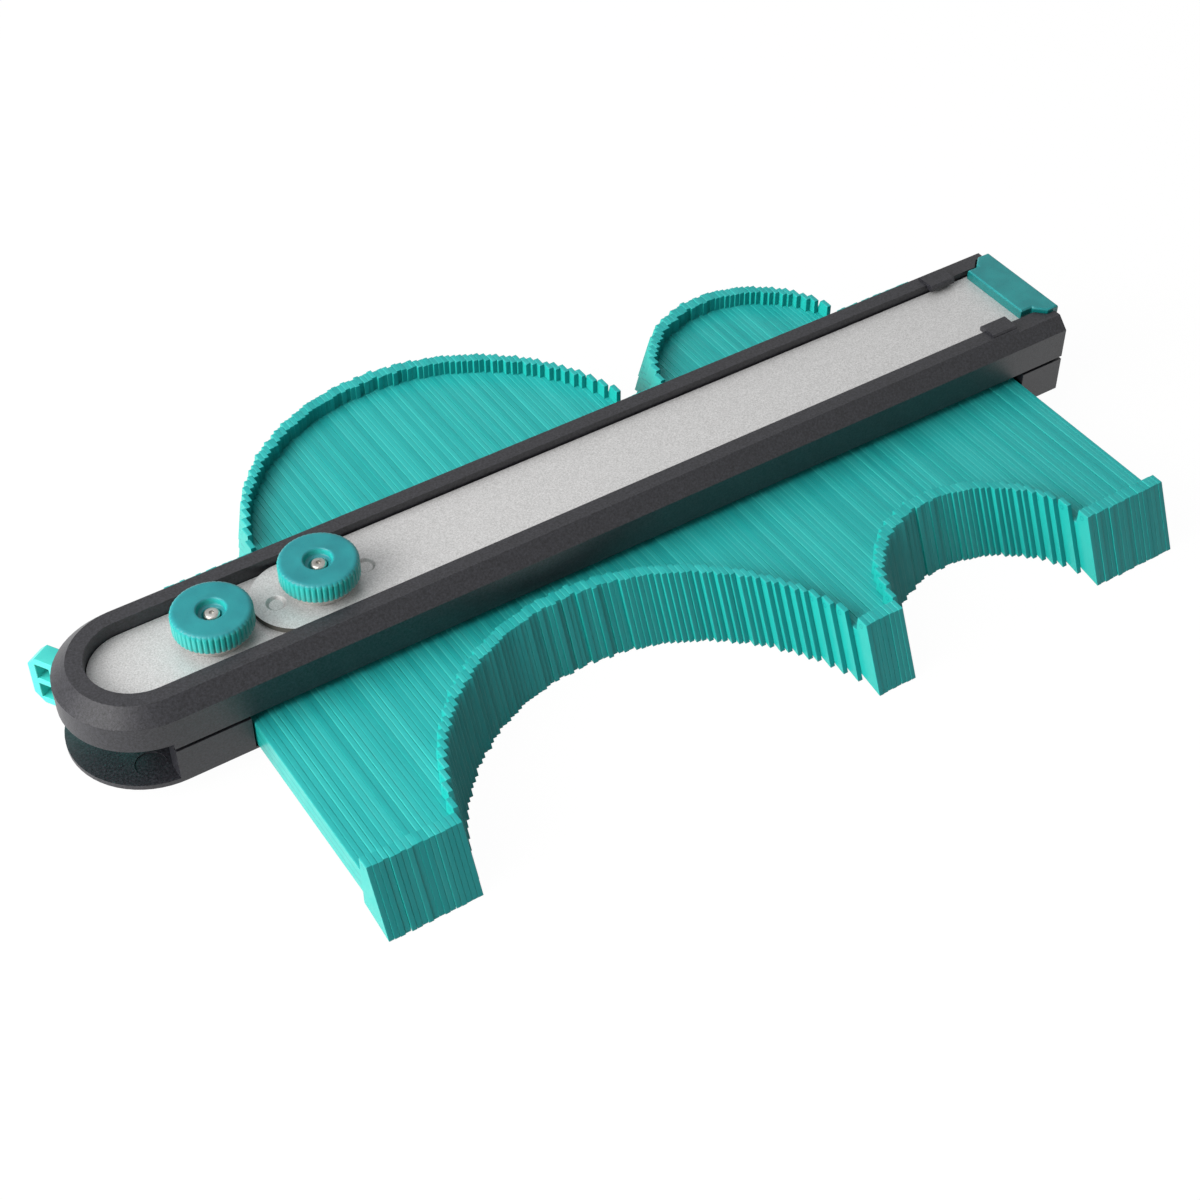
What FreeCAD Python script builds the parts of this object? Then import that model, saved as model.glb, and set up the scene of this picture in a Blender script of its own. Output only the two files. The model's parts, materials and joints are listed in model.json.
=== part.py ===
import FreeCAD, Part
import math
import os

# Contour gauge: a stack of thin sliding pins in a long two-part housing, with a steel
# blade that slides in the housing's top, two fluted knobs and a swing-out coupling lug.
# Millimetres. +X runs along the housing towards the blade's end block, +Y points to the
# pins' rear ends, +Z is up. The origin is at the centre of the housing's underside.

# Pins
pin_count = 164
pin_pitch = 1.525
pin_gap = 0.085
pins_per_group = 4
pin_overhang = 68.0
pin_lean = 8.4
flag_depth = 3.6
flag_drop = 4.4
flag_heel_rise = 2.2
flag_above_shaft = 4.5
shaft_height = 8.05
shaft_clearance = 0.1
tip_cut = 2.0
block_stand_off = 59.5

# Round shapes pressed into the pins: the shares of the row where each begins and ends, and its depth
large_arc_share = (0.103, 0.5884)
large_arc_depth = 50.8
small_arc_share = (0.6341, 0.8933)
small_arc_depth = 28.6

# Unevenness of a loose stack: how far single pins lie ahead of or above their neighbours
block_unevenness = 0.55
arc_unevenness = 1.3
pin_lift = 0.2
# Waves that make up the unevenness: the turn from pin to pin in radians, and where each starts
uneven_waves = ((0.9, 0.0), (2.4, 1.0), (4.1, 2.0))

# Housing
housing_width = 44.0
left_end_length = 40.7
right_end_length = 14.7
floor_thickness = 1.95
lower_height = 12.3
reveal_gap = 1.0
reveal_depth = 1.4
upper_height = 13.7
rim_chamfer = 4.2
foot_chamfer = 1.2
window_left_gap = 0.6
window_right_gap = 1.3

# Recess for the strip and the blade
recess_side_gap = 0.5
recess_depth = 5.7
strip_thickness = 1.5
strip_gap = 0.2
blade_thickness = 1.65
blade_half = 12.9
blade_tail = 19.2
blade_end_inset = 1.8
blade_lift = 0.02
dimple_radius = 2.75
dimple_floor_radius = 1.9
dimple_depth = 0.7
dimple_offset = 12.9

# Hold-down tabs and end block
tab_inset = 24.3
tab_length = 8.7
tab_lap = 1.8
tab_seat = 3.9
tab_rise = 0.7
tab_thickness = 1.8
tab_edge = 0.5
rim_drop = 0.7
end_block_inset = 9.6
end_block_overhang = 1.5
end_block_neck = 0.7
end_arm_reach = 2.5
end_arm_root = 4.0
end_arm_slant = 3.0
end_block_height = 3.05
end_arm_lift = 0.45
end_block_edge = 0.4
pocket_gap = 0.35

# Knobs
lock_knob_inset = 2.0
knob_spacing = 30.2
knob_radius = 10.6
knob_height = 5.9
knob_edge = 0.7
flute_count = 45
flute_depth = 0.42
flute_share = 0.4
counterbore_radius = 3.95
counterbore_depth = 2.6
collar_height = 3.0
collar_radius = 9.1
collar_foot_radius = 8.3
collar_foot_height = 1.7
collar_gap = 0.15
collar_sides = 48
stud_radius = 3.0
stud_fit = 0.06
stud_entry = 2.4
screw_radius = 1.25
screw_head_radius = 2.15
screw_head_height = 1.3
screw_length = 7.0
screw_head_chamfer = 0.43
drive_radius = 0.75
drive_depth = 0.6
drive_sides = 6
shank_sides = 8

# Blade guide under the strip
blade_travel = 190.0
track_half = 3.25
nut_half = 5.9
nut_length = 13.0
nut_thickness = 1.6
nut_gap = 0.15
groove_gap = 0.3

# Clamp over the pins
bar_half = 11.0
bar_height = 3.8
bar_end_reach = 2.9
bar_gap = 0.1
cavity_gap = 0.5
pad_half = 8.0
pad_clearance = 0.12

# Coupling lug and its slot
slot_depth = 20.1
slot_cheek = 5.0
slot_inner_reach = 2.7
slot_floor = 2.6
slot_ceiling = 15.1
lug_pivot_inset = 18.6
lug_hub_radius = 5.4
lug_hub_relief = 0.9
lug_width = 6.0
lug_reach = 30.0
lug_angle = 121.3
lug_gap = 0.2
lug_head_inner = 21.9
lug_head_above = 2.6
lug_head_below = 1.1
lug_top_cut = 2.4
lug_bottom_cut = 2.8
lug_window_rim = 2.4
lug_window_length = 4.2
lug_window_margin = 2.1
lug_window_bar = 1.9
lug_pin_radius = 2.0
lug_pin_fit = 0.05
lug_pin_seat = 1.6
mark_radius = 4.0
mark_depth = 0.25
mark_inset = 15.7
mark_y = -13.2

# Housing screws
case_screw_radius = 1.5
case_screw_fit = 0.1
case_screw_head_radius = 2.8
case_screw_head_height = 1.8
case_screw_recess = 0.3
case_screw_bite = 6.0
case_screw_half_spacing = 14.5
case_screw_sides = 16

# Places that follow from the sizes above
half_width = housing_width / 2
pin_run = pin_count * pin_pitch
window_length = window_left_gap + pin_run + window_right_gap
housing_length = left_end_length + window_length + right_end_length
housing_left = -housing_length / 2
housing_right = housing_length / 2
window_left = housing_left + left_end_length
window_right = housing_right - right_end_length
pins_left = window_left + window_left_gap
pins_right = pins_left + pin_run
arc_centre_x = housing_left + half_width
recess_half = blade_half + recess_side_gap
upper_bottom = lower_height + reveal_gap
rim_top = upper_bottom + upper_height
recess_floor = rim_top - recess_depth
strip_top = recess_floor + strip_thickness
blade_bottom = strip_top + blade_lift
blade_top = blade_bottom + blade_thickness
lock_knob_x = window_left + lock_knob_inset
blade_knob_x = lock_knob_x + knob_spacing
blade_left = blade_knob_x - blade_tail
blade_right = housing_right - blade_end_inset
tab_left = housing_right - tab_inset
tab_right = tab_left + tab_length
tab_inner = blade_half - tab_lap
tab_outer = recess_half + tab_seat
end_block_left = housing_right - end_block_inset
end_block_right = housing_right + end_block_overhang
end_block_half = blade_half - end_block_neck
end_arm_left = end_block_left + end_arm_root
end_arm_half = recess_half + end_arm_reach
pin_length = housing_width + pin_overhang
shaft_bottom = floor_thickness + shaft_clearance
shaft_top = shaft_bottom + shaft_height
flag_top = shaft_top + flag_above_shaft
pin_thickness = pin_pitch - pin_gap
block_front = -half_width - block_stand_off
bar_bottom = upper_bottom + bar_gap
bar_top = bar_bottom + bar_height
groove_floor = recess_floor - nut_thickness - 2 * nut_gap
slot_right = housing_left + slot_depth
lug_pivot_x = housing_left + lug_pivot_inset
mark_x = housing_left + mark_inset
# Cuts run this far past the surface that they open, and faces are found within the tolerance.
beyond = 5.0
tolerance = 1e-6
up = FreeCAD.Vector(0, 0, 1)


def vec(x, y, z=0.0):
    return FreeCAD.Vector(x, y, z)


def box(x0, x1, y0, y1, z0, z1):
    return Part.makeBox(x1 - x0, y1 - y0, z1 - z0, vec(x0, y0, z0))


def cylinder(x, y, radius, z0, z1):
    return Part.makeCylinder(radius, z1 - z0, vec(x, y, z0))


def outline(points, z):
    """Closed line through points at one height."""
    corners = [vec(x, y, z) for x, y in points]
    return Part.makePolygon(corners + corners[:1])


def prism(points, z0, z1):
    return Part.Face(outline(points, z0)).extrude(vec(0, 0, z1 - z0))


def polygon_rod(x, y, radius, sides, z0, z1):
    """A rod with flat sides, as fine as the piece needs."""
    points = []
    for index in range(sides):
        angle = 2 * math.pi * index / sides
        points.append((x + radius * math.cos(angle), y + radius * math.sin(angle)))
    return prism(points, z0, z1)


def round_ended(centre_x, radius, right, z0, z1):
    """A bar with a half-round left end and a square right end."""
    top = vec(centre_x, radius, z0)
    left = vec(centre_x - radius, 0, z0)
    foot = vec(centre_x, -radius, z0)
    edges = [
        Part.Arc(top, left, foot).toShape(),
        Part.LineSegment(foot, vec(right, -radius, z0)).toShape(),
        Part.LineSegment(vec(right, -radius, z0), vec(right, radius, z0)).toShape(),
        Part.LineSegment(vec(right, radius, z0), top).toShape(),
    ]
    return Part.Face(Part.Wire(edges)).extrude(vec(0, 0, z1 - z0))


def long_slot(x0, x1, radius, z0, z1):
    """A slot with half-round ends whose centres are at x0 and x1."""
    middle = box(x0, x1, -radius, radius, z0, z1)
    return middle.fuse([cylinder(x0, 0, radius, z0, z1), cylinder(x1, 0, radius, z0, z1)]).removeSplitter()


def outline_edges(solid, level):
    """Edges of the long sides and the round end at one height."""
    found = []
    for edge in solid.Edges:
        bounds = edge.BoundBox
        flat = abs(bounds.ZMin - level) < tolerance and abs(bounds.ZMax - level) < tolerance
        end_face = abs(bounds.XMin - housing_right) < tolerance
        if flat and not end_face:
            found.append(edge)
    return found


def case_screw_places():
    left_x = (lug_pivot_x + lug_hub_radius + lug_hub_relief + window_left) / 2
    right_x = (window_right + housing_right) / 2
    return [(x, side * case_screw_half_spacing) for x in (left_x, right_x) for side in (-1, 1)]


def end_slot():
    """Space that the coupling lug swings in, open round the housing's left end."""
    mouth_half = half_width + beyond
    mouth = box(housing_left - beyond, slot_right, -mouth_half, mouth_half, slot_floor, slot_ceiling)
    hub = cylinder(lug_pivot_x, 0, lug_hub_radius + lug_hub_relief, slot_floor, slot_ceiling)
    # Behind the two outer cheeks the slot is deeper, so the lug can swing further.
    inner_half = half_width - slot_cheek
    inner_left = slot_right - slot_inner_reach
    inner_right = slot_right + slot_inner_reach
    inner = box(inner_left, inner_right, -inner_half, inner_half, slot_floor, slot_ceiling)
    return mouth.fuse([hub, inner])


def lower_housing():
    body = round_ended(arc_centre_x, half_width, housing_right, 0, lower_height)
    body = body.makeChamfer(foot_chamfer, outline_edges(body, 0))
    ledge = round_ended(
        arc_centre_x, half_width - reveal_depth, housing_right - reveal_depth, lower_height, upper_bottom
    )
    body = body.fuse(ledge)
    window_half = half_width + beyond
    above = upper_bottom + beyond
    window = box(window_left, window_right, -window_half, window_half, floor_thickness, above)
    body = body.cut(window).cut(end_slot())
    body = body.cut(cylinder(mark_x, mark_y, mark_radius, slot_floor - mark_depth, slot_floor))
    body = body.cut(cylinder(lug_pivot_x, 0, lug_pin_radius, slot_floor - lug_pin_seat, slot_floor))
    for x, y in case_screw_places():
        head = case_screw_head_radius + case_screw_fit
        shank = case_screw_radius + case_screw_fit
        head_top = case_screw_recess + case_screw_head_height
        body = body.cut(polygon_rod(x, y, head, case_screw_sides, 0, head_top))
        body = body.cut(polygon_rod(x, y, shank, shank_sides, 0, upper_bottom))
    return body.removeSplitter()


def hold_down_tab(side):
    top = rim_top + tab_rise
    low = min(side * tab_inner, side * tab_outer)
    high = max(side * tab_inner, side * tab_outer)
    tab = box(tab_left, tab_right, low, high, top - tab_thickness, top)
    edges = []
    for edge in tab.Edges:
        bounds = edge.BoundBox
        if abs(bounds.ZMin - top) < tolerance and abs(bounds.YMin - bounds.YMax) < tolerance:
            edges.append(edge)
    return tab.makeChamfer(tab_edge, edges)


def end_block_plan(grow):
    """Plan of the end block: a body between the rims and two arms over them."""
    half = end_block_half + grow
    arm = end_arm_half + grow
    left = end_block_left - grow
    arm_left = end_arm_left - grow
    right = end_block_right + grow
    side = [
        (left, half),
        (arm_left, half),
        (arm_left, half + end_block_neck),
        (arm_left + end_arm_slant, arm),
        (right, arm),
    ]
    mirrored = [(x, -y) for x, y in reversed(side)]
    return side + mirrored


def upper_housing():
    body = round_ended(arc_centre_x, half_width, housing_right, upper_bottom, rim_top)
    body = body.makeChamfer(rim_chamfer, outline_edges(body, rim_top))
    above = rim_top + beyond
    recess = round_ended(arc_centre_x, recess_half, housing_right + beyond, recess_floor, above)
    body = body.cut(recess)
    low_rim = rim_top - rim_drop
    body = body.cut(box(tab_right, housing_right + beyond, -half_width, half_width, low_rim, above))
    pocket_floor = blade_top + end_arm_lift - pocket_gap
    body = body.cut(prism(end_block_plan(pocket_gap), pocket_floor, above))
    body = body.fuse([hold_down_tab(-1), hold_down_tab(1)])
    # The nut groove and the cavity over the pins leave a deck between them.
    groove_half = nut_half + groove_gap
    groove_left = blade_knob_x - nut_length / 2 - groove_gap
    groove_right = blade_knob_x + blade_travel + nut_length / 2 + groove_gap
    body = body.cut(box(groove_left, groove_right, -groove_half, groove_half, groove_floor, recess_floor))
    cavity_half = bar_half + cavity_gap
    cavity_left = window_left - bar_end_reach - cavity_gap
    cavity_right = window_right + bar_end_reach + cavity_gap
    cavity_top = bar_top + cavity_gap
    body = body.cut(box(cavity_left, cavity_right, -cavity_half, cavity_half, upper_bottom, cavity_top))
    body = body.cut(cylinder(lock_knob_x, 0, stud_radius + stud_fit, bar_top, recess_floor))
    body = body.cut(end_slot())
    body = body.cut(cylinder(lug_pivot_x, 0, lug_pin_radius, slot_ceiling, slot_ceiling + lug_pin_seat))
    for x, y in case_screw_places():
        body = body.cut(
            polygon_rod(x, y, case_screw_radius, shank_sides, upper_bottom, upper_bottom + case_screw_bite)
        )
    return body.removeSplitter()


def housing_screws():
    screws = []
    for x, y in case_screw_places():
        head_top = case_screw_recess + case_screw_head_height
        drive_end = case_screw_recess + drive_depth
        shank_end = upper_bottom + case_screw_bite
        head = polygon_rod(x, y, case_screw_head_radius, case_screw_sides, case_screw_recess, head_top)
        shank = polygon_rod(x, y, case_screw_radius, shank_sides, head_top, shank_end)
        drive = polygon_rod(x, y, drive_radius, drive_sides, case_screw_recess, drive_end)
        screws.append(head.fuse(shank).cut(drive).removeSplitter())
    return Part.makeCompound(screws)


def base_strip():
    radius = recess_half - strip_gap
    strip = round_ended(arc_centre_x, radius, housing_right - strip_gap, recess_floor, strip_top)
    track = long_slot(blade_knob_x, blade_knob_x + blade_travel, track_half, recess_floor, strip_top)
    hole = cylinder(lock_knob_x, 0, stud_radius + stud_fit, recess_floor, strip_top)
    return strip.cut(track).cut(hole)


def blade():
    left_centre = blade_left + blade_half
    strip = round_ended(left_centre, blade_half, blade_right, blade_bottom, blade_top)
    strip = strip.cut(cylinder(blade_knob_x, 0, stud_radius + stud_fit, blade_bottom, blade_top))
    for side in (-1, 1):
        x = blade_knob_x + side * dimple_offset
        floor = blade_top - dimple_depth
        dimple = Part.makeCone(dimple_floor_radius, dimple_radius, dimple_depth, vec(x, 0, floor))
        strip = strip.cut(dimple)
    return strip


def end_block():
    top = blade_top + end_block_height
    block = prism(end_block_plan(0), blade_top, top)
    for side in (-1, 1):
        inner = side * end_block_half
        outer = side * (end_arm_half + beyond)
        low = min(inner, outer)
        high = max(inner, outer)
        arm_bottom = blade_top + end_arm_lift
        under = box(end_arm_left - beyond, end_block_right + beyond, low, high, blade_top, arm_bottom)
        block = block.cut(under)
    lip = box(blade_right, end_block_right, -blade_half, blade_half, blade_bottom, blade_top)
    block = block.fuse(lip).removeSplitter()
    edges = [edge for edge in block.Edges if abs(edge.BoundBox.ZMin - top) < tolerance]
    return block.makeChamfer(end_block_edge, edges)


def fluted_circle(x, radius):
    """Corners of a knob's outline: a flat land and a pointed groove for each flute."""
    points = []
    step = 2 * math.pi / flute_count
    half_mouth = flute_share * step / 2
    groove = ((-half_mouth, radius), (0.0, radius - flute_depth), (half_mouth, radius))
    for index in range(flute_count):
        for turn, reach in groove:
            angle = index * step + turn
            points.append((x + reach * math.cos(angle), reach * math.sin(angle)))
    return points


def knob(x, seat):
    """A fluted cap with a stepped bore; seat is the top of the collar below it."""
    top = seat + knob_height
    shoulder = top - knob_edge
    widest = fluted_circle(x, knob_radius)
    narrowest = fluted_circle(x, knob_radius - knob_edge)
    edge = Part.makeLoft([outline(widest, shoulder), outline(narrowest, top)], True, True)
    cap = prism(widest, seat, shoulder).fuse(edge).removeSplitter()
    cap = cap.cut(cylinder(x, 0, counterbore_radius, top - counterbore_depth, top))
    cap = cap.cut(cylinder(x, 0, stud_radius + stud_fit, seat, seat + stud_entry + stud_fit))
    return cap.cut(cylinder(x, 0, screw_radius + stud_fit, seat, top))


def knob_screw(x, seat):
    floor = seat + knob_height - counterbore_depth
    head_top = floor + screw_head_height
    head = cylinder(x, 0, screw_head_radius, floor, head_top)
    rims = [edge for edge in head.Edges if abs(edge.BoundBox.ZMin - head_top) < tolerance]
    head = head.makeChamfer(screw_head_chamfer, rims)
    shank = cylinder(x, 0, screw_radius, floor - screw_length, floor)
    drive = polygon_rod(x, 0, drive_radius, drive_sides, head_top - drive_depth, head_top)
    return head.fuse(shank).cut(drive).removeSplitter()


def screw_hole(x, seat):
    floor = seat + knob_height - counterbore_depth
    return cylinder(x, 0, screw_radius + stud_fit, floor - screw_length - stud_fit, floor)


def collar(x, seat):
    """Stepped metal collar under a knob; seat is the face it stands on."""
    foot_top = seat + collar_foot_height
    foot = polygon_rod(x, 0, collar_foot_radius, collar_sides, seat, foot_top)
    flange = polygon_rod(x, 0, collar_radius, collar_sides, foot_top, seat + collar_height - collar_gap)
    body = foot.fuse(flange).removeSplitter()
    return body.cut(cylinder(x, 0, stud_radius + stud_fit, seat, seat + collar_height))


def lock_stud():
    seat = strip_top + collar_height
    post = cylinder(lock_knob_x, 0, stud_radius, bar_bottom, seat + stud_entry)
    return post.cut(screw_hole(lock_knob_x, seat))


def blade_stud():
    seat = blade_top + collar_height
    nut_top = recess_floor - nut_gap
    nut_bottom = nut_top - nut_thickness
    nut_left = blade_knob_x - nut_length / 2
    nut = box(nut_left, nut_left + nut_length, -nut_half, nut_half, nut_bottom, nut_top)
    post = cylinder(blade_knob_x, 0, stud_radius, nut_bottom, seat + stud_entry)
    return nut.fuse(post).cut(screw_hole(blade_knob_x, seat)).removeSplitter()


def clamp_bar():
    left = window_left - bar_end_reach
    right = window_right + bar_end_reach
    bar = box(left, right, -bar_half, bar_half, bar_bottom, bar_top)
    return bar.cut(cylinder(lock_knob_x, 0, stud_radius + stud_fit, bar_bottom, bar_top))


def clamp_pad():
    bottom = shaft_top + pin_lift + pad_clearance
    return box(pins_left, pins_right, -pad_half, pad_half, bottom, bar_bottom)


def coupling_lug():
    """A hub on the pivot pin, an arm as high as the slot, and a taller head with two windows."""
    bottom = slot_floor + lug_gap
    top = slot_ceiling - lug_gap
    low = bottom - lug_head_below
    high = top + lug_head_above
    # Side view along the arm from the pivot, then thickened and turned.
    side = [
        (0, bottom),
        (lug_head_inner, bottom),
        (lug_head_inner, low),
        (lug_reach - lug_bottom_cut, low),
        (lug_reach, low + lug_bottom_cut),
        (lug_reach, high - lug_top_cut),
        (lug_reach - lug_top_cut, high),
        (lug_head_inner, high),
        (lug_head_inner, top),
        (0, top),
    ]
    corners = [vec(x, -lug_width / 2, z) for x, z in side]
    arm = Part.Face(Part.makePolygon(corners + corners[:1])).extrude(vec(0, lug_width, 0))
    hub = cylinder(0, 0, lug_hub_radius, bottom, top)
    lug = arm.fuse(hub)
    middle = (low + high) / 2
    window_outer = lug_reach - lug_window_rim
    window_inner = window_outer - lug_window_length
    for window_low, window_high in (
        (low + lug_window_margin, middle - lug_window_bar / 2),
        (middle + lug_window_bar / 2, high - lug_window_margin),
    ):
        lug = lug.cut(box(window_inner, window_outer, -lug_width, lug_width, window_low, window_high))
    lug = lug.cut(cylinder(0, 0, lug_pin_radius + lug_pin_fit, bottom, top)).removeSplitter()
    lug.rotate(vec(0, 0, 0), up, lug_angle)
    lug.translate(vec(lug_pivot_x, 0, 0))
    return lug


def lug_pin():
    return cylinder(lug_pivot_x, 0, lug_pin_radius, slot_floor - lug_pin_seat, slot_ceiling + lug_pin_seat)


def pressed_depth(place, arc_share, depth):
    """How far a round shape pushes the pin at a share of the row back from the block front."""
    first, last = arc_share
    if place <= first or place >= last:
        return 0.0
    reach = (last - first) / 2 * pin_run
    radius = (reach ** 2 + depth ** 2) / (2 * depth)
    across = (place - (first + last) / 2) * pin_run
    return math.sqrt(max(0.0, radius ** 2 - across ** 2)) + depth - radius


def unevenness(index):
    """A value from 0 to 1 that varies from pin to pin without a plain pattern."""
    waves = [math.sin(turn * index + start) for turn, start in uneven_waves]
    return (1 + sum(waves) / len(waves)) / 2


def pin_front(index):
    """Y of a pin's top front corner in the shape that the gauge holds."""
    place = (index + 0.5) / pin_count
    large = pressed_depth(place, large_arc_share, large_arc_depth)
    small = pressed_depth(place, small_arc_share, small_arc_depth)
    pressed = max(large, small)
    slack = arc_unevenness if pressed > 0 else block_unevenness
    return block_front + pressed + slack * unevenness(index)


def pin(index):
    x = pins_left + index * pin_pitch + pin_gap / 2
    front = pin_front(index)
    rear = front + pin_length
    lift = pin_lift * unevenness(index + pin_count)
    tip_z = -flag_drop
    heel_z = tip_z + flag_heel_rise
    profile = [
        (front - pin_lean, tip_z),
        (front, flag_top),
        (front + flag_depth, flag_top),
        (front + flag_depth, shaft_top),
        (rear - flag_depth, shaft_top),
        (rear - flag_depth, flag_top),
        (rear, flag_top),
        (rear + pin_lean - tip_cut, tip_z),
        (rear - flag_depth, heel_z),
        (rear - flag_depth, shaft_bottom),
        (front + flag_depth, shaft_bottom),
        (front + flag_depth, heel_z),
    ]
    corners = [vec(x, y, z + lift) for y, z in profile]
    return Part.Face(Part.makePolygon(corners + corners[:1])).extrude(vec(pin_thickness, 0, 0))


def pin_groups():
    groups = {}
    for first in range(0, pin_count, pins_per_group):
        name = "pins_%02d" % (first // pins_per_group + 1)
        members = range(first, min(first + pins_per_group, pin_count))
        groups[name] = Part.makeCompound([pin(index) for index in members])
    return groups


def pin_travel(first):
    """Forward and backward travel of the group that starts at a pin."""
    members = range(first, min(first + pins_per_group, pin_count))
    fronts = [pin_front(index) for index in members]
    forward = min(fronts) + pin_length - flag_depth - half_width
    backward = -half_width - max(fronts) - flag_depth
    return forward, backward


def build():
    lock_seat = strip_top + collar_height
    blade_seat = blade_top + collar_height
    nodes = {
        "upper_housing": upper_housing(),
        "lower_housing": lower_housing(),
        "housing_screws": housing_screws(),
        "base_strip": base_strip(),
        "clamp_bar": clamp_bar(),
        "clamp_pad": clamp_pad(),
        "lock_stud": lock_stud(),
        "lock_collar": collar(lock_knob_x, strip_top),
        "lock_knob": knob(lock_knob_x, lock_seat),
        "lock_knob_screw": knob_screw(lock_knob_x, lock_seat),
        "blade": blade(),
        "end_block": end_block(),
        "blade_stud": blade_stud(),
        "blade_collar": collar(blade_knob_x, blade_top),
        "blade_knob": knob(blade_knob_x, blade_seat),
        "blade_knob_screw": knob_screw(blade_knob_x, blade_seat),
        "coupling_lug": coupling_lug(),
        "lug_pin": lug_pin(),
    }
    nodes.update(pin_groups())
    return nodes


os.makedirs("parts", exist_ok=True)
for node, shape in build().items():
    shape.exportStep("parts/" + node + ".step")
for first_pin in range(0, pin_count, pins_per_group):
    ahead, back = pin_travel(first_pin)
    print("pins_%02d travel %.2f ahead %.2f back" % (first_pin // pins_per_group + 1, ahead, back))
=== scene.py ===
import json
import math
import random

import bmesh
import bpy
from mathutils import Matrix, Vector


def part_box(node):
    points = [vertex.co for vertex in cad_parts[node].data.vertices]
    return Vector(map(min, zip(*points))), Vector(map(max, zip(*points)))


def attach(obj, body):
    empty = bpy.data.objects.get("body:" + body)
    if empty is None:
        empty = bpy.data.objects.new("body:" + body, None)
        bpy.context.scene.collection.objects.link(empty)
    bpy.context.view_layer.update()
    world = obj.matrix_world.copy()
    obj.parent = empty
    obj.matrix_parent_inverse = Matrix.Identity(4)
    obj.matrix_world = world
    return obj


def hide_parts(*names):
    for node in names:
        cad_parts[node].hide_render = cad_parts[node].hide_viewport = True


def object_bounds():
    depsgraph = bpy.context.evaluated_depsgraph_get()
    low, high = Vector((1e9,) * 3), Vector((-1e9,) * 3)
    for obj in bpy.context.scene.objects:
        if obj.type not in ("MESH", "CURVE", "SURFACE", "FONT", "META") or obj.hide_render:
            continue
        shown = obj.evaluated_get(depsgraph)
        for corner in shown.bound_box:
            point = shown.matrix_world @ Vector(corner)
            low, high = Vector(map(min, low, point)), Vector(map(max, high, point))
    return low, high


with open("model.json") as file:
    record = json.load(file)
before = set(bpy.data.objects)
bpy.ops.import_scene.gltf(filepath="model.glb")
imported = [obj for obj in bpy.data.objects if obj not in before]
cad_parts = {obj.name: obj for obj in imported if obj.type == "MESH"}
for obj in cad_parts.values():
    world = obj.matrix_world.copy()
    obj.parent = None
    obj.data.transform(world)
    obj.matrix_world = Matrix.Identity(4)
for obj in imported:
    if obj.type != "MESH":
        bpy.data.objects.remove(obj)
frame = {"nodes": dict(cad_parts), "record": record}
nodes = frame["nodes"]
cad_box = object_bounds()

MM = 0.001
body_of = {
    node: body
    for body, members in frame["record"]["behaviour"]["bodies"].items()
    for node in members
}

# Camera: place in millimetres, and the directions of its right, up and forward
CAMERA_PLACE = (-236.1, -375.5, 408.1)
CAMERA_RIGHT = (0.8402, -0.5423, -0.0034)
CAMERA_UP = (0.3806, 0.5852, 0.7160)
CAMERA_FORWARD = (0.3863, 0.6029, -0.6981)
CAMERA_RANGE = (0.01, 50.0)
LENS = 64.55
SENSOR = 36.0

# Pins: pitch of the row, how far walls may close the joints between them, and how much a pin may lean
PIN_PITCH = 1.525 * MM
PIN_GAP = 0.085 * MM
PIN_ROW_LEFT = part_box("pins_01")[0].x - PIN_GAP / 2
PIN_OPEN_SHARE = 0.2
PIN_CLOSING = (0.2, 0.47)
PIN_TILT = 0.05 * MM
PIN_TIP = 0.1 * MM
PIN_SEED = 11

# Marks on the pins' sides, in millimetres behind the front corner and above the foot
MARK_PLACE = (1.9, 17.3)
MARK_RADIUS = 0.6
MARK_FADE = (0.06, 0.16)
SHAFT_START = 3.6
SHAFT_FADE = 0.2
GROOVE_HEIGHTS = (9.3, 12.0)
GROOVE_FADE = (0.08, 0.3)

# Colouring of the pins, with a painted highlight on each pin's left long edge and painted shade on its
# ends: shares of the pitch from the left wall or the middle, and how far a face turns
PIN_OWN_SHARE = 0.6
PIN_MIDDLE = 0.5
PAINTED_HIGHLIGHT_EDGE = (0.16, 0.28)
PAINTED_HIGHLIGHT_STRENGTH = (0.1, 0.7)
JOINT_EDGE = (0.43, 0.48)
JOINT_DEPTH = 0.5
SIDE_FACING = (0.6, 0.8)
END_SHADE_FACING = (0.6, 0.85)
END_SHADE_DEPTH = 0.6

# How far up a face looks where the painted light and shade of moulded walls, and the painted shade of the
# steel's rims, fade out
PAINTED_WALL_FACING = (0.1, 0.85)
RIM_SHADE_FACING = (0.5, 0.95)

# Fine lines on the pins and on turned metal: how often they change along each axis
FLOW_LINES = (2200.0, 22.0, 1100.0)
TURNED_LINES = (500.0, 500.0, 9000.0)

# What the lines and the marks each add to the pins' relief
FLOW_RELIEF = 0.3
MARK_RELIEF = 1.5

# Joining of facets and rounding of edges
WELD = 0.002 * MM
FLAT_ANGLE = math.radians(1.0)
SHARP_ANGLE = math.radians(35.0)
EDGE_SEGMENTS = 2
SHELL_EDGE = 0.35 * MM
LUG_EDGE = 0.3 * MM
BLOCK_EDGE = 0.18 * MM
STRIP_EDGE = 0.12 * MM
COLLAR_EDGE = 0.12 * MM
PIN_EDGE = 0.1 * MM
BLADE_EDGE = 0.08 * MM
SCREW_EDGE = 0.08 * MM

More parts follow.
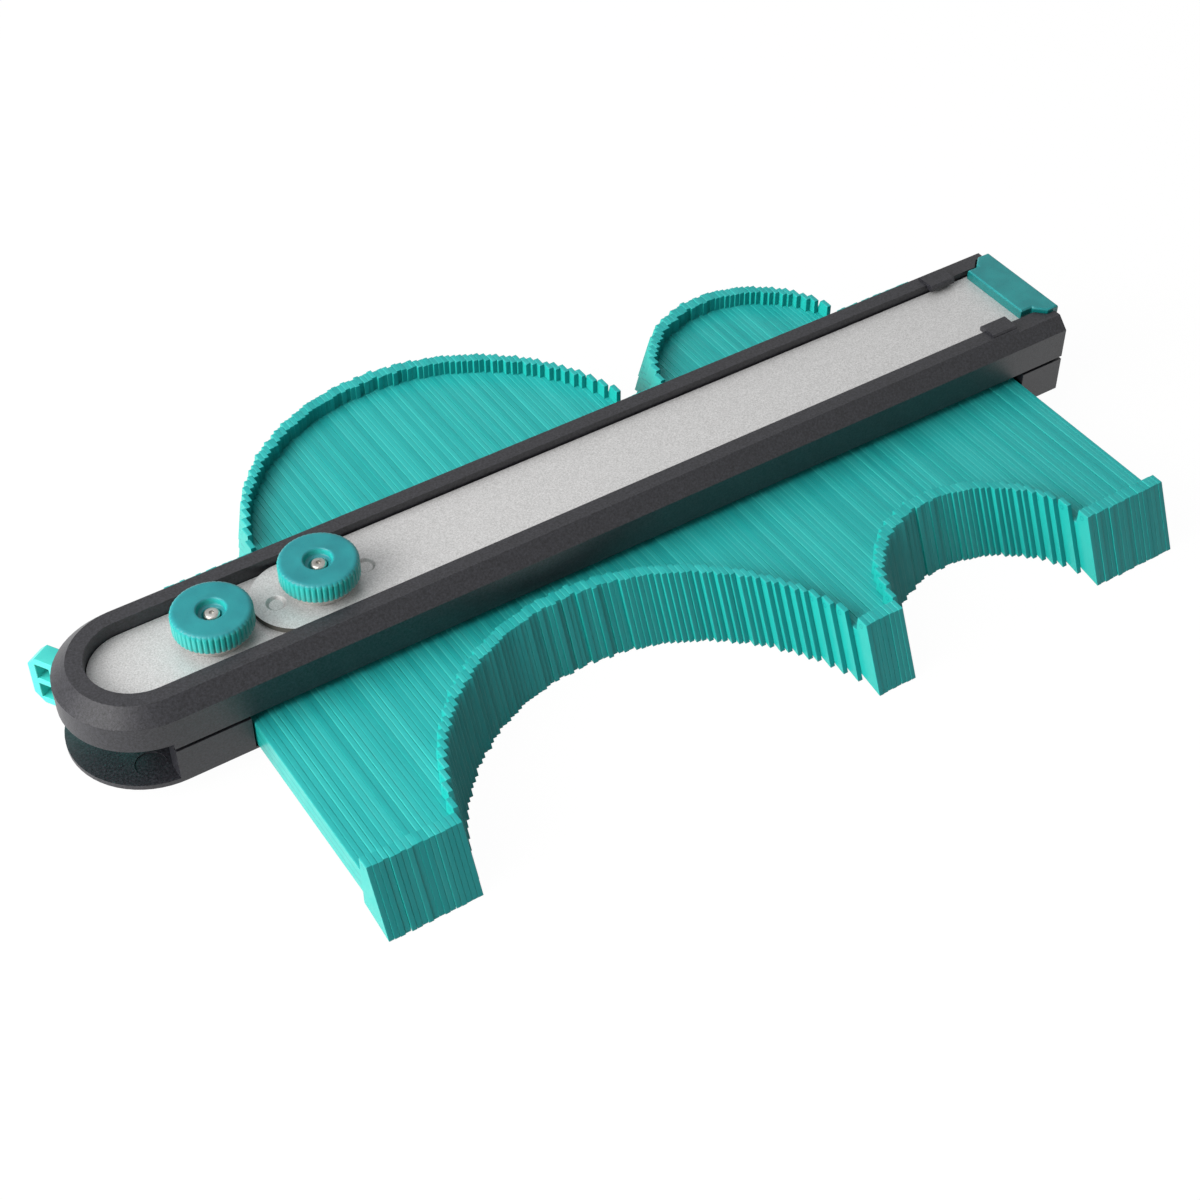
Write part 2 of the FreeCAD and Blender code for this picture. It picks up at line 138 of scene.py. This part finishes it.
# Colours as written for screens; a pair is the darker and the lighter tone of a mottled surface
SHELL_TONES = ((10, 10, 13), (54, 54, 60))
PIN_TONES = ((28, 155, 155), (50, 179, 177))
# Painted highlight on each pin's left long edge
PIN_PAINTED_HIGHLIGHT = (78, 202, 197)
PIN_JOINT = (6, 116, 118)
PIN_SIDE = (32, 168, 160)
# Painted shade on the pins' front and back ends
PIN_END_SHADE = (10, 131, 133)
# Painted shade in the ejector rings and the shafts' grooves
PIN_GROOVE_SHADE = (12, 138, 138)
KNOB_TONES = ((20, 124, 132), (30, 140, 146))
# Knob walls painted lighter than the tops: painted light
KNOB_WALL_LIGHT = (40, 170, 164)
BLOCK_TONES = ((20, 126, 130), (30, 142, 144))
# End block walls painted darker than its top: painted shade
BLOCK_WALL_SHADE = (14, 108, 108)
LUG_TONES = ((56, 186, 180), (72, 202, 194))
# Lug walls painted lighter than its top: painted light
LUG_WALL_LIGHT = (74, 204, 196)
STEEL_TONES = ((178, 178, 178), (226, 226, 227))
# Painted shade on the steel's upright rims
STEEL_RIM_SHADE = (100, 98, 92)
TURNED_TONES = ((178, 175, 168), (214, 212, 208))
RUBBER_TONES = ((24, 24, 25), (36, 36, 37))

# The curve from values written for screens to light: straight in the darkest part, then a power
SCREEN_WHITE = 255
SCREEN_DARK = 0.04045
DARK_SLOPE = 12.92
CURVE_SHIFT = 0.055
CURVE_POWER = 2.4

# Sockets of the colour mix and of the shader mix, whose names other sockets share
MIX_FIRST = 6
MIX_SECOND = 7
MIX_RESULT = 2
SHADER_FIRST = 1
SHADER_SECOND = 2


def linear(colour):
    """A colour as written for screens, turned into light values."""
    values = []
    for value in colour:
        share = value / SCREEN_WHITE
        if share <= SCREEN_DARK:
            values.append(share / DARK_SLOPE)
        else:
            values.append(((share + CURVE_SHIFT) / (1 + CURVE_SHIFT)) ** CURVE_POWER)
    return (*values, 1.0)


# Materials


class Nodes:
    """Adds shader nodes to a tree and links them."""

    def __init__(self, tree):
        self.tree = tree

    def node(self, kind, **values):
        made = self.tree.nodes.new(kind)
        for key, value in values.items():
            setattr(made, key, value)
        return made

    def link(self, source, target):
        self.tree.links.new(source, target)

    def feed(self, value, socket):
        """Links an output to a socket, or sets a plain value on the socket itself."""
        if isinstance(value, bpy.types.NodeSocket):
            self.link(value, socket)
        else:
            socket.default_value = value

    def split(self, vector):
        made = self.node("ShaderNodeSeparateXYZ")
        self.link(vector, made.inputs["Vector"])
        return made.outputs

    def spread(self, value, low=0.0, high=1.0, start=0.3, end=0.7):
        """Turns the range from start to end into the range from low to high."""
        made = self.node("ShaderNodeMapRange")
        made.inputs["From Min"].default_value = start
        made.inputs["From Max"].default_value = end
        made.inputs["To Min"].default_value = low
        made.inputs["To Max"].default_value = high
        self.link(value, made.inputs["Value"])
        return made.outputs["Result"]

    def calc(self, operation, first, second=None):
        made = self.node("ShaderNodeMath", operation=operation)
        for socket, value in zip(made.inputs, (first, second)):
            if value is not None:
                self.feed(value, socket)
        return made.outputs["Value"]

    def gap(self, first, second):
        """How far two values are apart."""
        return self.calc("ABSOLUTE", self.calc("SUBTRACT", first, second))

    def mix(self, share, first, second):
        made = self.node("ShaderNodeMix", data_type="RGBA")
        self.feed(share, made.inputs["Factor"])
        self.feed(first, made.inputs[MIX_FIRST])
        self.feed(second, made.inputs[MIX_SECOND])
        return made.outputs[MIX_RESULT]

    def between(self, share, tones):
        dark, light = tones
        return self.mix(share, linear(dark), linear(light))


class Shader(Nodes):
    """A new material with the nodes that feed its surface."""

    def __init__(self, name):
        self.material = bpy.data.materials.new(name)
        self.material.use_nodes = True
        super().__init__(self.material.node_tree)
        self.surface = self.tree.nodes["Principled BSDF"]
        self.coordinates = self.node("ShaderNodeTexCoord").outputs["Object"]

    def put(self, **values):
        """Feeds the surface's sockets, which are named with underscores for spaces."""
        for key, value in values.items():
            self.feed(value, self.surface.inputs[key.replace("_", " ")])

    def noise(self, scale, detail=2.0, roughness=0.5, vector=None):
        made = self.node("ShaderNodeTexNoise")
        made.inputs["Scale"].default_value = scale
        made.inputs["Detail"].default_value = detail
        made.inputs["Roughness"].default_value = roughness
        self.link(self.coordinates if vector is None else vector, made.inputs["Vector"])
        return made.outputs["Fac"]

    def stretched(self, scale):
        """Coordinates scaled differently along each axis, for marks that run one way."""
        made = self.node("ShaderNodeMapping")
        made.inputs["Scale"].default_value = scale
        self.link(self.coordinates, made.inputs["Vector"])
        return made.outputs["Vector"]

    def facing(self, axis):
        """How much the surface faces along one axis."""
        return self.split(self.node("ShaderNodeNewGeometry").outputs["Normal"])[axis]

    def bump(self, height, distance, strength):
        made = self.node("ShaderNodeBump")
        made.inputs["Strength"].default_value = strength
        made.inputs["Distance"].default_value = distance
        self.link(height, made.inputs["Height"])
        return made.outputs["Normal"]


def shell_plastic():
    """Anthracite moulded plastic with a fine spark-eroded grain."""
    s = Shader("shell_plastic")
    fleck = s.noise(scale=1600.0, detail=3.0, roughness=0.75)
    grain = s.noise(scale=2600.0, detail=3.0, roughness=0.6)
    wear = s.noise(scale=38.0, detail=3.0, roughness=0.55)
    s.put(
        Base_Color=s.between(s.spread(fleck), SHELL_TONES),
        Roughness=s.spread(wear, low=0.34, high=0.44),
        Normal=s.bump(grain, distance=0.06 * MM, strength=0.8),
        Specular_IOR_Level=0.6,
    )
    return s.material


def pin_tone(s, own, off_sides):
    """Each pin's own tone, with a painted highlight on its left long edge, dark joints, greener sides and
    painted shade darkening its front and back ends.
    """
    cloud = s.noise(scale=70.0)
    own_part = s.calc("MULTIPLY", own, PIN_OWN_SHARE)
    shade = s.calc("ADD", own_part, s.calc("MULTIPLY", cloud, 1 - PIN_OWN_SHARE))
    tone = s.between(shade, PIN_TONES)
    from_left = s.calc("SUBTRACT", s.split(s.coordinates)["X"], PIN_ROW_LEFT)
    across = s.calc("FRACT", s.calc("DIVIDE", from_left, PIN_PITCH))
    # Painted highlight along each pin's left long edge, stronger on some pins than on others
    highlight_strength = s.spread(own, *PAINTED_HIGHLIGHT_STRENGTH, 0.0, 1.0)
    painted_highlight = s.calc("MULTIPLY", s.spread(across, 1.0, 0.0, *PAINTED_HIGHLIGHT_EDGE), highlight_strength)
    joint = s.spread(s.gap(across, PIN_MIDDLE), 0.0, JOINT_DEPTH, *JOINT_EDGE)
    # Painted shade on faces that point to the front or the back
    end = s.spread(s.calc("ABSOLUTE", s.facing("Y")), 0.0, END_SHADE_DEPTH, *END_SHADE_FACING)
    tone = s.mix(s.calc("MULTIPLY", painted_highlight, off_sides), tone, linear(PIN_PAINTED_HIGHLIGHT))
    tone = s.mix(s.calc("MULTIPLY", joint, off_sides), tone, linear(PIN_JOINT))
    tone = s.mix(off_sides, linear(PIN_SIDE), tone)
    return s.mix(end, tone, linear(PIN_END_SHADE))


def pin_marks(s, off_sides):
    """0 in the ejector's round mark and in the shaft's two grooves, and 1 elsewhere and off the sides; the
    colour puts painted shade where it is 0.
    """
    place = s.split(s.node("ShaderNodeAttribute", attribute_name="place").outputs["Vector"])
    behind = s.calc("SUBTRACT", place["Y"], MARK_PLACE[0])
    over = s.calc("SUBTRACT", place["Z"], MARK_PLACE[1])
    squares = s.calc("ADD", s.calc("MULTIPLY", behind, behind), s.calc("MULTIPLY", over, over))
    marks = s.spread(s.gap(s.calc("SQRT", squares), MARK_RADIUS), 0.0, 1.0, *MARK_FADE)
    off_shaft = s.spread(place["Y"], 1.0, 0.0, SHAFT_START, SHAFT_START + SHAFT_FADE)
    for height in GROOVE_HEIGHTS:
        groove = s.spread(s.gap(place["Z"], height), 0.0, 1.0, *GROOVE_FADE)
        marks = s.calc("MULTIPLY", marks, s.calc("MAXIMUM", groove, off_shaft))
    return s.calc("MAXIMUM", marks, off_sides)


def pin_plastic():
    """Turquoise plastic, slightly see-through at its edges, with flow lines along each pin, and painted
    highlights and painted shade in its colour.
    """
    s = Shader("pin_plastic")
    own = s.node("ShaderNodeAttribute", attribute_name="own").outputs["Fac"]
    off_sides = s.spread(s.calc("ABSOLUTE", s.facing("X")), 1.0, 0.0, *SIDE_FACING)
    marks = pin_marks(s, off_sides)
    lines = s.noise(scale=1.0, vector=s.stretched(FLOW_LINES))
    flow = s.calc("MULTIPLY", lines, FLOW_RELIEF)
    relief = s.calc("ADD", flow, s.calc("MULTIPLY", marks, MARK_RELIEF))
    s.put(
        # Painted shade in the marks' recesses, which also set the relief
        Base_Color=s.mix(marks, linear(PIN_GROOVE_SHADE), pin_tone(s, own, off_sides)),
        Roughness=s.spread(s.noise(scale=260.0), low=0.28, high=0.38),
        Normal=s.bump(relief, distance=0.03 * MM, strength=0.5),
        Specular_IOR_Level=0.3,
        Subsurface_Weight=0.12,
        Subsurface_Radius=(0.3, 1.0, 0.95),
        Subsurface_Scale=0.6 * MM,
    )
    return s.material


def satin_plastic(name, tones, wall_paint_tone):
    """Moulded plastic, satin on top, with another tone painted on its walls: painted light on the knobs
    and the lug, painted shade on the end block.
    """
    s = Shader(name)
    cloud = s.noise(scale=150.0)
    grain = s.noise(scale=4200.0)
    # Painted light and shade on the walls, by how far up they face
    painted_wall_mask = s.spread(s.facing("Z"), 1.0, 0.0, *PAINTED_WALL_FACING)
    s.put(
        Base_Color=s.mix(painted_wall_mask, s.between(s.spread(cloud), tones), linear(wall_paint_tone)),
        Roughness=s.spread(grain, low=0.27, high=0.35),
        Normal=s.bump(grain, distance=0.01 * MM, strength=0.5),
        Specular_IOR_Level=0.55,
        Subsurface_Weight=0.15,
        Subsurface_Radius=(0.3, 1.0, 0.9),
        Subsurface_Scale=0.8 * MM,
    )
    return s.material


def blasted_steel():
    """Light steel with a fine blasted grain and painted shade darkening its upright cut rims."""
    s = Shader("blasted_steel")
    patch = s.noise(scale=2600.0, detail=3.0, roughness=0.7)
    drift = s.noise(scale=9.0)
    grain = s.noise(scale=5200.0, roughness=0.6)
    # Painted shade on faces that don't face up
    rim_shade = s.spread(s.facing("Z"), 1.0, 0.0, *RIM_SHADE_FACING)
    s.put(
        Base_Color=s.mix(rim_shade, s.between(s.spread(patch), STEEL_TONES), linear(STEEL_RIM_SHADE)),
        Roughness=s.spread(drift, low=0.46, high=0.54),
        Normal=s.bump(grain, distance=0.025 * MM, strength=0.6),
        Metallic=0.4,
    )
    return s.material


def turned_steel():
    """Bright turned steel of collars, studs and screws, with fine rings."""
    s = Shader("turned_steel")
    rings = s.noise(scale=1.0, vector=s.stretched(TURNED_LINES))
    s.put(
        Base_Color=s.between(s.spread(rings), TURNED_TONES),
        Roughness=s.spread(rings, low=0.24, high=0.36),
        Normal=s.bump(rings, distance=0.006 * MM, strength=0.5),
        Metallic=1.0,
    )
    return s.material


def pad_rubber():
    """Dull black rubber of the hidden clamp pad."""
    s = Shader("pad_rubber")
    grain = s.noise(scale=1800.0)
    s.put(
        Base_Color=s.between(s.spread(grain), RUBBER_TONES),
        Roughness=0.75,
        Normal=s.bump(grain, distance=0.04 * MM, strength=0.6),
    )
    return s.material


SHELL = shell_plastic()
PIN = pin_plastic()
KNOB = satin_plastic("knob_plastic", KNOB_TONES, KNOB_WALL_LIGHT)
BLOCK = satin_plastic("cap_plastic", BLOCK_TONES, BLOCK_WALL_SHADE)
LUG = satin_plastic("lug_plastic", LUG_TONES, LUG_WALL_LIGHT)
STEEL = blasted_steel()
TURNED = turned_steel()
RUBBER = pad_rubber()


def paint(piece, material):
    """Leaves a piece one material slot, with this material."""
    piece.data.materials.clear()
    piece.data.materials.append(material)


def soften(piece, width):
    """Joins a piece's facets and rounds its edges."""
    weld = piece.modifiers.new("join facets", "WELD")
    weld.merge_threshold = WELD
    bevel = piece.modifiers.new("round edges", "BEVEL")
    bevel.width = width
    bevel.segments = EDGE_SEGMENTS
    bevel.limit_method = "ANGLE"
    bevel.angle_limit = SHARP_ANGLE
    bevel.use_clamp_overlap = True
    bevel.harden_normals = True
    piece.data.polygons.foreach_set("use_smooth", [True] * len(piece.data.polygons))
    normals = piece.modifiers.new("even normals", "WEIGHTED_NORMAL")
    normals.keep_sharp = False


# Material of each carried-over node, and the width of its rounded edges
finishes = {
    "upper_housing": (SHELL, SHELL_EDGE),
    "lower_housing": (SHELL, SHELL_EDGE),
    "housing_screws": (TURNED, 0.0),
    "base_strip": (STEEL, STRIP_EDGE),
    "clamp_bar": (SHELL, 0.0),
    "clamp_pad": (RUBBER, 0.0),
    "lock_stud": (TURNED, 0.0),
    "lock_collar": (TURNED, COLLAR_EDGE),
    "lock_knob": (KNOB, 0.0),
    "lock_knob_screw": (TURNED, SCREW_EDGE),
    "blade": (STEEL, BLADE_EDGE),
    "end_block": (BLOCK, BLOCK_EDGE),
    "blade_stud": (TURNED, 0.0),
    "blade_collar": (TURNED, COLLAR_EDGE),
    "blade_knob": (KNOB, 0.0),
    "blade_knob_screw": (TURNED, SCREW_EDGE),
    "coupling_lug": (LUG, LUG_EDGE),
    "lug_pin": (TURNED, 0.0),
}
for name, piece in nodes.items():
    material, width = finishes.get(name, (PIN, 0.0))
    paint(piece, material)
    if width:
        soften(piece, width)


# Pins: each one closes up on its neighbours unevenly, leans a little and has rounded edges


def islands(work):
    """Groups of joined vertices, one for each pin, in the order of the mesh."""
    met = set()
    for start in work.verts:
        if start in met:
            continue
        met.add(start)
        group = [start]
        for vertex in group:
            for edge in vertex.link_edges:
                other = edge.other_vert(vertex)
                if other not in met:
                    met.add(other)
                    group.append(other)
        yield group


def closing(chance):
    """How far one wall of a pin moves into the joint beside it; some walls stay."""
    if chance.random() < PIN_OPEN_SHARE:
        return 0.0
    return chance.uniform(*PIN_CLOSING) * PIN_GAP


def shape_pin(group, own, place, chance):
    """Writes a pin's shade and places for its material, then moves its walls and leans its top."""
    xs = [vertex.co.x for vertex in group]
    top = max(vertex.co.z for vertex in group)
    foot = min(vertex.co.z for vertex in group)
    front = min(vertex.co.y for vertex in group if vertex.co.z > top - PIN_TIP)
    middle = (min(xs) + max(xs)) / 2
    shade = chance.random()
    walls = {-1: closing(chance), 1: closing(chance)}
    tilt = (chance.random() - 0.5) * PIN_TILT
    for vertex in group:
        vertex[own] = shade
        vertex[place] = (0.0, (vertex.co.y - front) / MM, (vertex.co.z - foot) / MM)
        side = 1 if vertex.co.x > middle else -1
        vertex.co.x += side * walls[side]
        vertex.co.z += side * tilt * (vertex.co.z - foot) / (top - foot)


def dress_pins(name, chance):
    """Puts a moulded copy of a node of pins in its place."""
    mesh = nodes[name].data.copy()
    work = bmesh.new()
    work.from_mesh(mesh)
    bmesh.ops.remove_doubles(work, verts=work.verts, dist=WELD)
    bmesh.ops.dissolve_limit(work, angle_limit=FLAT_ANGLE, verts=work.verts, edges=work.edges)
    own = work.verts.layers.float.new("own")
    place = work.verts.layers.float_vector.new("place")
    for group in islands(work):
        shape_pin(group, own, place, chance)
    work.to_mesh(mesh)
    work.free()
    piece = bpy.data.objects.new(name + "_moulded", mesh)
    bpy.context.scene.collection.objects.link(piece)
    paint(piece, PIN)
    soften(piece, PIN_EDGE)
    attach(piece, body_of[name])
    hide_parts(name)


seeded = random.Random(PIN_SEED)
for name in sorted(nodes):
    if name.startswith("pins_"):
        dress_pins(name, seeded)


# Knobs: smooth turned form with rounded ribs, in place of the faceted caps

RIBS = 45
COLUMNS_PER_RIB = 8
RIB_DEPTH = 0.32
GROOVE_WIDTH = 0.14

# Outline from the foot to the screw: radius and height in millimetres, and share of the ribs' depth
KNOB_PROFILE = [
    (3.2, 0.0, 0.0), (9.6, 0.0, 0.0), (10.1, 0.1, 0.6), (10.45, 0.3, 1.0), (10.6, 0.6, 1.0),
    (10.6, 2.4, 1.0), (10.6, 4.5, 1.0), (10.58, 4.9, 0.95), (10.45, 5.3, 0.7), (10.2, 5.6, 0.35),
    (9.85, 5.8, 0.1), (9.4, 5.89, 0.0), (9.0, 5.9, 0.0), (6.5, 5.86, 0.0), (4.6, 5.88, 0.0),
    (4.3, 5.9, 0.0), (4.08, 5.86, 0.0), (3.88, 5.72, 0.0), (3.76, 5.45, 0.0), (3.7, 5.0, 0.0),
    (3.62, 4.4, 0.0), (3.45, 4.12, 0.0), (3.2, 4.0, 0.0), (2.75, 3.96, 0.0), (2.5, 3.8, 0.0),
    (2.4, 3.3, 0.0), (1.35, 3.3, 0.0),
]


def rib_cut(turn):
    """How deep the surface lies below the ribs, at a turn counted in ribs from a groove's middle."""
    away = abs(turn - round(turn))
    return RIB_DEPTH * math.exp(-(away / GROOVE_WIDTH) ** 2)


def make_knob(name, node, body):
    """Turns the outline about the axis of a node's knob, which it replaces."""
    low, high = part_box(node)
    x = (low.x + high.x) / 2
    columns = RIBS * COLUMNS_PER_RIB
    work = bmesh.new()
    rings = []
    for radius, height, ribbed in KNOB_PROFILE:
        ring = []
        for column in range(columns):
            angle = 2 * math.pi * column / columns
            reach = (radius - ribbed * rib_cut(column / COLUMNS_PER_RIB)) * MM
            spot = (x + reach * math.cos(angle), reach * math.sin(angle), low.z + height * MM)
            ring.append(work.verts.new(spot))
        rings.append(ring)
    for lower, upper in zip(rings, rings[1:]):
        for column in range(columns):
            after = (column + 1) % columns
            work.faces.new((lower[column], lower[after], upper[after], upper[column]))
    for face in work.faces:
        face.smooth = True
    mesh = bpy.data.meshes.new(name)
    work.to_mesh(mesh)
    work.free()
    piece = bpy.data.objects.new(name, mesh)
    bpy.context.scene.collection.objects.link(piece)
    paint(piece, KNOB)
    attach(piece, body)
    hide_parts(node)


make_knob("lock_knob_cap", "lock_knob", "lock_knob")
make_knob("blade_knob_cap", "blade_knob", "blade_knob")


# Floor, light and camera

WHITE = (1.0, 1.0, 1.0, 1.0)
FLOOR_REACH = 6.0
FLOOR_DROP = 0.05 * MM
FLOOR_COLOUR = (0.4, 0.4, 0.4, 1.0)
FLOOR_GLOW = 1.05
FLOOR_SEEN = 0.93
WORLD_LIGHT = 0.21
WORLD_SEEN = 1.0
WORLD_IN_GLOSS = 0.5

# Lamps: name, place, power, colour, and whether gloss shows it. The low key lights the left-hand sides and
# would glare on flat tops seen from the far side, so gloss shows only the other two
LAMP_SIZE = (1.2, 1.0)
LAMP_TARGET = (0, 0, 0)
LAMPS = (
    ("low_key", (-1.2, 0.1, 0.45), 27.0, (1.0, 0.985, 0.96), False),
    ("high_key", (-0.95, 0.0, 0.95), 12.0, (1.0, 0.985, 0.96), True),
    ("top", (-0.2, 0.3, 1.3), 2.5, (1.0, 1.0, 1.0), True),
)


def make_floor():
    """A plain floor that takes the shadow and looks white to the camera and in gloss."""
    level = cad_box[0][2] - FLOOR_DROP
    corners = ((-1, -1), (1, -1), (1, 1), (-1, 1))
    mesh = bpy.data.meshes.new("floor")
    mesh.from_pydata([(FLOOR_REACH * x, FLOOR_REACH * y, level) for x, y in corners], [], [(0, 1, 2, 3)])
    floor = bpy.data.objects.new("floor", mesh)
    bpy.context.scene.collection.objects.link(floor)
    s = Shader("floor_white")
    s.put(Base_Color=FLOOR_COLOUR, Roughness=0.9, Specular_IOR_Level=0.1)
    glow = s.node("ShaderNodeEmission")
    glow.inputs["Color"].default_value = WHITE
    glow.inputs["Strength"].default_value = FLOOR_GLOW
    path = s.node("ShaderNodeLightPath").outputs
    seen = s.calc("MAXIMUM", path["Is Camera Ray"], path["Is Glossy Ray"])
    blend = s.node("ShaderNodeMixShader")
    s.link(s.calc("MULTIPLY", seen, FLOOR_SEEN), blend.inputs["Fac"])
    s.link(s.surface.outputs["BSDF"], blend.inputs[SHADER_FIRST])
    s.link(glow.outputs["Emission"], blend.inputs[SHADER_SECOND])
    s.link(blend.outputs["Shader"], s.tree.nodes["Material Output"].inputs["Surface"])
    paint(floor, s.material)


def make_world():
    """A white surround that lights the object softly and is dimmer in gloss than to the camera."""
    world = bpy.data.worlds.new("studio")
    bpy.context.scene.world = world
    world.use_nodes = True
    s = Nodes(world.node_tree)
    back = s.tree.nodes["Background"]
    path = s.node("ShaderNodeLightPath").outputs
    in_gloss = s.calc("MULTIPLY", path["Is Glossy Ray"], WORLD_IN_GLOSS)
    seen = s.calc("MAXIMUM", path["Is Camera Ray"], in_gloss)
    s.link(s.spread(seen, WORLD_LIGHT, WORLD_SEEN, 0.0, 1.0), back.inputs["Strength"])
    back.inputs["Color"].default_value = WHITE


def make_lamp(name, place, watts, colour, glossy):
    """A broad lamp that faces the object."""
    data = bpy.data.lights.new(name, "AREA")
    data.shape = "RECTANGLE"
    data.size, data.size_y = LAMP_SIZE
    data.energy = watts
    data.color = colour
    lamp = bpy.data.objects.new(name, data)
    lamp.location = place
    lamp.visible_glossy = glossy
    lamp.rotation_euler = (Vector(LAMP_TARGET) - Vector(place)).to_track_quat("-Z", "Y").to_euler()
    bpy.context.scene.collection.objects.link(lamp)


def make_camera():
    """The camera, where the photograph was taken from."""
    data = bpy.data.cameras.new("camera")
    data.lens = LENS
    data.sensor_width = SENSOR
    data.sensor_fit = "HORIZONTAL"
    data.clip_start, data.clip_end = CAMERA_RANGE
    camera = bpy.data.objects.new("camera", data)
    right, up, forward = Vector(CAMERA_RIGHT), Vector(CAMERA_UP), Vector(CAMERA_FORWARD)
    turn = Matrix((right, up, -forward)).transposed().to_4x4()
    camera.matrix_world = Matrix.Translation(Vector(CAMERA_PLACE) * MM) @ turn
    bpy.context.scene.collection.objects.link(camera)
    bpy.context.scene.camera = camera


make_floor()
make_world()
for lamp in LAMPS:
    make_lamp(*lamp)
make_camera()
bpy.context.scene.view_settings.view_transform = "Standard"
